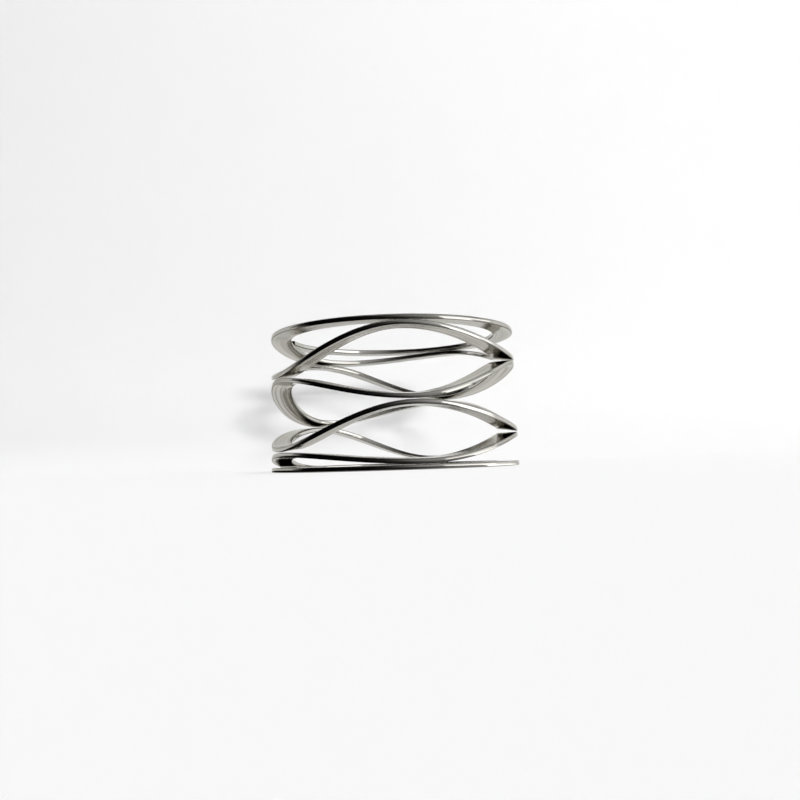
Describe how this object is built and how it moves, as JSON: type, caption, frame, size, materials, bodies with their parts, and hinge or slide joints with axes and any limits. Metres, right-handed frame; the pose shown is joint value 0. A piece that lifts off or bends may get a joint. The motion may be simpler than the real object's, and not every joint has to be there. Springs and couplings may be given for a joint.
{
  "type": "wave spring",
  "caption": "Multi-turn wave spring wound on edge from one flat steel wire, crest to crest, with a flat turn at each end that spreads the load.",
  "frame": {"origin": "on the winding axis, at the resting face of the lower end turn", "axes": "+Z along the winding axis towards the upper end turn; -Y towards the viewer of the picture, +X to the right"},
  "size_m": [0.0246, 0.0246, 0.0135],
  "materials": {
    "spring_steel": "bright rolled stainless spring wire, with fine marks along the wire"
  },
  "bodies": {
    "root": {"wave_spring": "spring_steel"}
  },
  "joints": []
}
